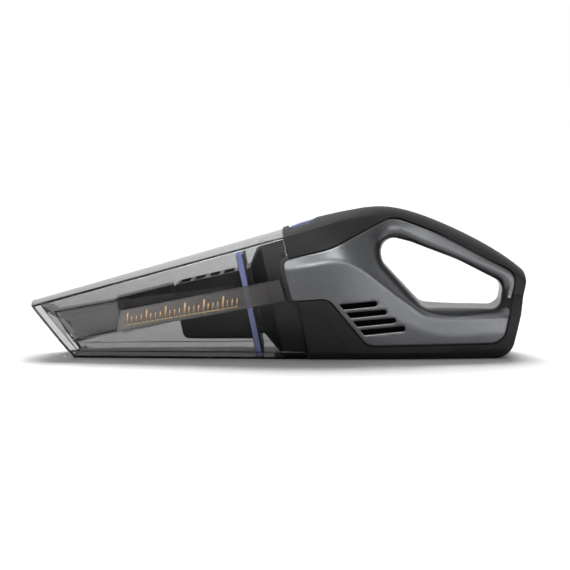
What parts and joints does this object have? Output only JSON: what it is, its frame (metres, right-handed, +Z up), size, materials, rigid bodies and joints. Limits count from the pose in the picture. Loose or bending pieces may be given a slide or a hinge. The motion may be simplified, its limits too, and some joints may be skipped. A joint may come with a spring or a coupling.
{
  "type": "handheld vacuum",
  "caption": "Cordless handheld wet-and-dry vacuum with clear pull-off dust cup, filter cartridge, loop handle, latch button and rechargeable motor unit",
  "frame": {"origin": "on the resting plane, under the middle of the overall length, in the left-right symmetry plane", "axes": "+X runs from the nozzle to the handle, +Z is up, +Y is the right-hand side seen from above with the nozzle pointing away to -X"},
  "size_m": [0.4079, 0.1104, 0.1229],
  "materials": {
    "black_shell": "fine matte texture",
    "gunmetal_plastic": "satin metallic lacquer on plastic",
    "clear_smoke": "clear smoke-tinted polished polycarbonate",
    "dark_smoke": "dark smoke-tinted polished polycarbonate",
    "seal_blue": "translucent blue-lilac silicone",
    "button_blue": "translucent blue-lilac gloss plastic",
    "black_plastic": "moulded black",
    "black_rubber": "matte black rubber",
    "filter_paper": "pleated filter paper",
    "foam": "open black foam",
    "steel": "bright zinc-plated steel",
    "motor_steel": "plated sheet steel",
    "lamination": "dark lamination steel",
    "magnet": "dark ferrite",
    "bronze": "sintered bronze",
    "copper": "enamelled copper",
    "brass_tab": "brass",
    "carbon": "carbon graphite",
    "impeller_plastic": "glass-filled natural nylon",
    "cell_wrap": null,
    "nickel": "nickel strip",
    "pcb_green": "green solder mask",
    "chips": "moulded component bodies",
    "led_blue": "clear blue epoxy",
    "wire_red": "red PVC",
    "wire_black": "black PVC"
  },
  "bodies": {
    "housing": {"housing_left": "black_shell", "housing_right": "black_shell", "side_panel_left": "gunmetal_plastic", "side_panel_right": "gunmetal_plastic", "filter_seat": "black_plastic", "fan_cover": "black_plastic", "fan_housing": "black_plastic", "motor_end_cap": "black_plastic", "battery_cradle": "black_plastic", "dc_jack": "black_plastic", "power_switch": "black_plastic", "air_sleeve": "black_rubber", "motor_rubber_front": "black_rubber", "motor_rubber_rear": "black_rubber", "exhaust_filter_left": "foam", "exhaust_filter_right": "foam", "housing_screws": "steel", "release_pivot_pin": "steel", "release_spring": "steel", "motor_can": "motor_steel", "motor_magnets": "magnet", "motor_front_bearing": "bronze", "motor_rear_bearing": "bronze", "motor_terminals": "brass_tab", "dc_jack_pin": "brass_tab", "motor_brushes": "carbon", "battery_cells": "cell_wrap", "battery_strips": "nickel", "charge_board": "pcb_green", "switch_board": "pcb_green", "board_components": "chips", "status_led": "led_blue", "led_lens": "led_blue", "motor_lead_positive": "wire_red", "motor_lead_negative": "wire_black"},
    "cup": {"dust_cup": "clear_smoke", "nozzle_duct": "clear_smoke", "inlet_tube": "dark_smoke", "flap_pin": "steel"},
    "flap": {"inlet_flap": "black_rubber"},
    "filter": {"filter_frame": "black_plastic", "seal_ring": "seal_blue", "filter_media": "filter_paper"},
    "release_lever": {"release_button": "button_blue", "latch_lever": "black_plastic"},
    "power_key": {"power_button": "black_plastic"},
    "rotor": {"motor_shaft": "steel", "rotor_core": "lamination", "rotor_windings": "copper", "commutator": "copper", "impeller": "impeller_plastic", "impeller_nut": "steel"}
  },
  "joints": [
    {"name": "cup_slide", "type": "slide", "parent": "housing", "child": "cup", "axis": [-1, 0, 0], "range_m": [0, 0.12]},
    {"name": "filter_slide", "type": "slide", "parent": "housing", "child": "filter", "axis": [-1, 0, 0], "range_m": [0, 0.05]},
    {"name": "flap_hinge", "type": "hinge", "parent": "cup", "child": "flap", "pos_m": [-0.1094, 0, 0.0496], "axis": [0, -1, 0], "range_deg": [0, 40]},
    {"name": "release_press", "type": "hinge", "parent": "housing", "child": "release_lever", "pos_m": [0.0335, 0, 0.101], "axis": [0, -1, 0], "range_deg": [0, 4], "stiffness_Nm_per_rad": 2, "springref_deg": -2.86, "deforming": ["release_spring"]},
    {"name": "power_press", "type": "slide", "parent": "housing", "child": "power_key", "axis": [0, 0, -1], "range_m": [0, 0.0012], "stiffness_N_per_m": 800, "springref_m": -0.002},
    {"name": "rotor_spin", "type": "hinge", "parent": "housing", "child": "rotor", "pos_m": [0.05, 0, 0.047], "axis": [1, 0, 0], "continuous": true}
  ],
  "couplings": [
    {"joint": "filter_slide", "follows": "cup_slide", "ratio": 0.4}
  ]
}
